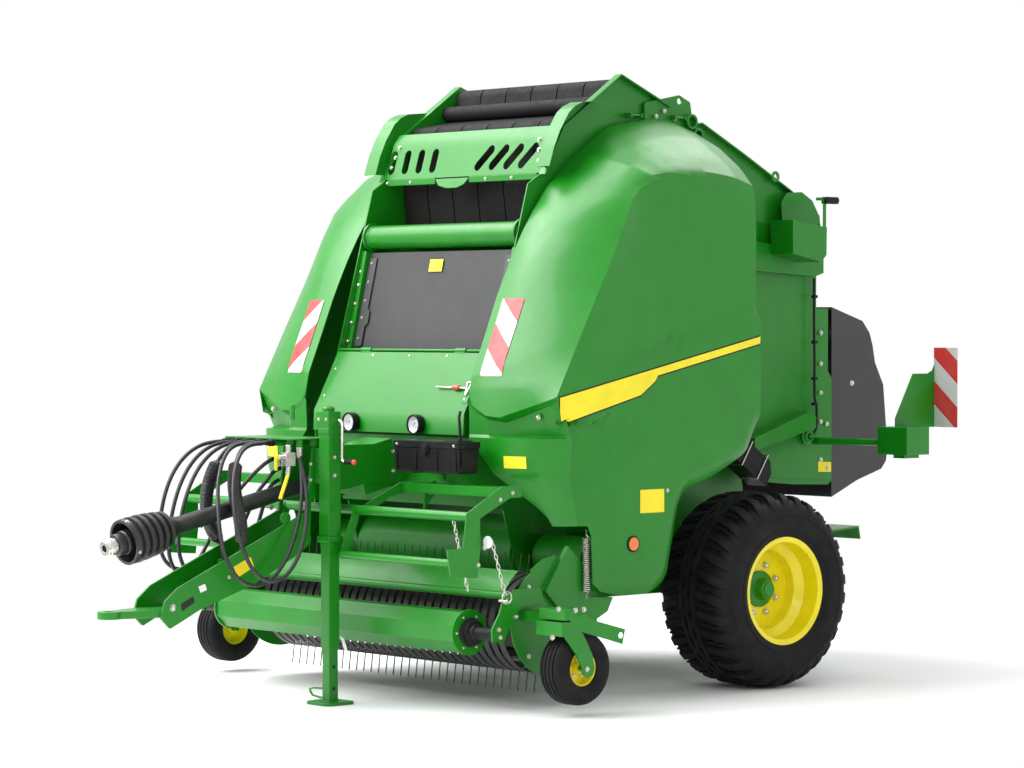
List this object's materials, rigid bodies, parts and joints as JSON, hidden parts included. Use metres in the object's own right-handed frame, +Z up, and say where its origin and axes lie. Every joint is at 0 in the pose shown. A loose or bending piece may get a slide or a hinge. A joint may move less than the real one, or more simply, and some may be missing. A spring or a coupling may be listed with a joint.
{
  "type": "round baler",
  "caption": "Towed round baler with belts, rising tailgate, hinged side doors, wide pickup with gauge wheels, drawbar and parking jack.",
  "frame": {"origin": "on the ground, at the middle of the machine's width and length", "axes": "+Z up, -Y towards the tractor, +X the machine's left side"},
  "size_m": [3.016, 4.921, 3.2],
  "materials": {
    "green_paint": "glossy",
    "dark_paint": "semi-gloss",
    "net_panel_paint": "satin",
    "yellow_paint": "glossy",
    "tyre_rubber": "matt",
    "belt_rubber": "matt, woven face",
    "black_plastic": "matt",
    "guard_plastic": "satin",
    "bare_steel": "worn",
    "tine_steel": "dark spring steel",
    "lamp_glass": "clear",
    "hose_rubber": "satin",
    "sleeve_plastic": "ribbed",
    "board_paint": "reflective red and white stripes"
  },
  "bodies": {
    "chassis": {"main_frame": "green_paint", "side_sheet_left": "green_paint", "side_sheet_right": "green_paint", "axle_beam": "dark_paint", "slat_panel": "green_paint", "front_roller": "green_paint", "front_belts": "belt_rubber", "net_panel": "net_panel_paint", "drawbar": "green_paint", "hitch_eye": "dark_paint", "gearbox": "green_paint", "pto_guard": "guard_plastic", "jack_tube": "green_paint", "toolbox": "black_plastic", "crop_frame": "green_paint", "hose_bracket": "green_paint", "wheel_chocks": "black_plastic", "hose_1": "hose_rubber", "hose_2": "hose_rubber", "hose_3": "hose_rubber", "hose_4": "hose_rubber", "hose_5": "hose_rubber", "hose_sleeves": "sleeve_plastic"},
    "wheel_left": {"tyre_left": "tyre_rubber", "rim_left": "yellow_paint", "hub_left": "green_paint"},
    "wheel_right": {"tyre_right": "tyre_rubber", "rim_right": "yellow_paint", "hub_right": "green_paint"},
    "tailgate": {"tailgate_side_left": "green_paint", "tailgate_side_right": "green_paint", "tailgate_frame": "green_paint", "rear_belts": "belt_rubber", "rear_shield": "dark_paint", "marker_arms": "green_paint", "rear_boxes": "green_paint", "marker_boards": "board_paint"},
    "bale_ramp": {"bale_ramp": "green_paint"},
    "hood": {"hood": "green_paint", "work_lamps": "lamp_glass"},
    "side_door_left": {"side_cover_left": "green_paint"},
    "side_door_right": {"side_cover_right": "green_paint"},
    "pickup": {"pickup_frame": "green_paint", "stripper_bands": "dark_paint", "windguard": "green_paint", "gauge_arms": "green_paint"},
    "windguard_roller": {"windguard_roller": "green_paint"},
    "pickup_reel": {"pickup_reel": "tine_steel"},
    "gauge_wheel_left": {"gauge_tyre_left": "tyre_rubber", "gauge_rim_left": "yellow_paint"},
    "gauge_wheel_right": {"gauge_tyre_right": "tyre_rubber", "gauge_rim_right": "yellow_paint"},
    "feed_rotor": {"feed_rotor": "green_paint"},
    "jack_leg": {"jack_leg": "green_paint"},
    "pto_shaft": {"pto_shaft": "bare_steel"}
  },
  "joints": [
    {"name": "wheel_left_spin", "type": "hinge", "parent": "chassis", "child": "wheel_left", "pos_m": [1.035, 0.9695, 0.512], "axis": [1, 0, 0], "continuous": true},
    {"name": "wheel_right_spin", "type": "hinge", "parent": "chassis", "child": "wheel_right", "pos_m": [-1.035, 0.9695, 0.512], "axis": [1, 0, 0], "continuous": true},
    {"name": "tailgate_hinge", "type": "hinge", "parent": "chassis", "child": "tailgate", "pos_m": [0, 0.8195, 2.98], "axis": [1, 0, 0], "range_deg": [0, 60]},
    {"name": "ramp_hinge", "type": "hinge", "parent": "chassis", "child": "bale_ramp", "pos_m": [0, 1.1195, 0.545], "axis": [-1, 0, 0], "range_deg": [0, 18], "stiffness_Nm_per_rad": 900, "springref_deg": -34.38},
    {"name": "hood_hinge", "type": "hinge", "parent": "chassis", "child": "hood", "pos_m": [0, -0.4925, 1.764], "axis": [-1, 0, 0], "range_deg": [0, 70]},
    {"name": "door_left_hinge", "type": "hinge", "parent": "chassis", "child": "side_door_left", "pos_m": [0.676, 0, 2.988], "axis": [0, -1, 0], "range_deg": [0, 65]},
    {"name": "door_right_hinge", "type": "hinge", "parent": "chassis", "child": "side_door_right", "pos_m": [-0.676, 0, 2.988], "axis": [0, 1, 0], "range_deg": [0, 65]},
    {"name": "pickup_lift", "type": "hinge", "parent": "chassis", "child": "pickup", "pos_m": [0, 0.0695, 0.76], "axis": [-1, 0, 0], "range_deg": [-3, 8]},
    {"name": "windguard_roller_spin", "type": "hinge", "parent": "pickup", "child": "windguard_roller", "pos_m": [0, -0.9505, 0.396], "axis": [1, 0, 0], "continuous": true},
    {"name": "pickup_reel_spin", "type": "hinge", "parent": "pickup", "child": "pickup_reel", "pos_m": [0, -0.4905, 0.41], "axis": [1, 0, 0], "continuous": true},
    {"name": "gauge_wheel_left_spin", "type": "hinge", "parent": "pickup", "child": "gauge_wheel_left", "pos_m": [1.396, -0.6455, 0.236], "axis": [1, 0, 0], "continuous": true},
    {"name": "gauge_wheel_right_spin", "type": "hinge", "parent": "pickup", "child": "gauge_wheel_right", "pos_m": [-1.396, -0.6455, 0.236], "axis": [1, 0, 0], "continuous": true},
    {"name": "feed_rotor_spin", "type": "hinge", "parent": "chassis", "child": "feed_rotor", "pos_m": [0, -0.1805, 0.72], "axis": [1, 0, 0], "continuous": true},
    {"name": "jack_slide", "type": "slide", "parent": "chassis", "child": "jack_leg", "axis": [0, 0, 1], "range_m": [0, 0.3]},
    {"name": "pto_spin", "type": "hinge", "parent": "chassis", "child": "pto_shaft", "pos_m": [0, -2.4325, 0.821], "axis": [0, 0.9768, 0.214], "continuous": true}
  ]
}
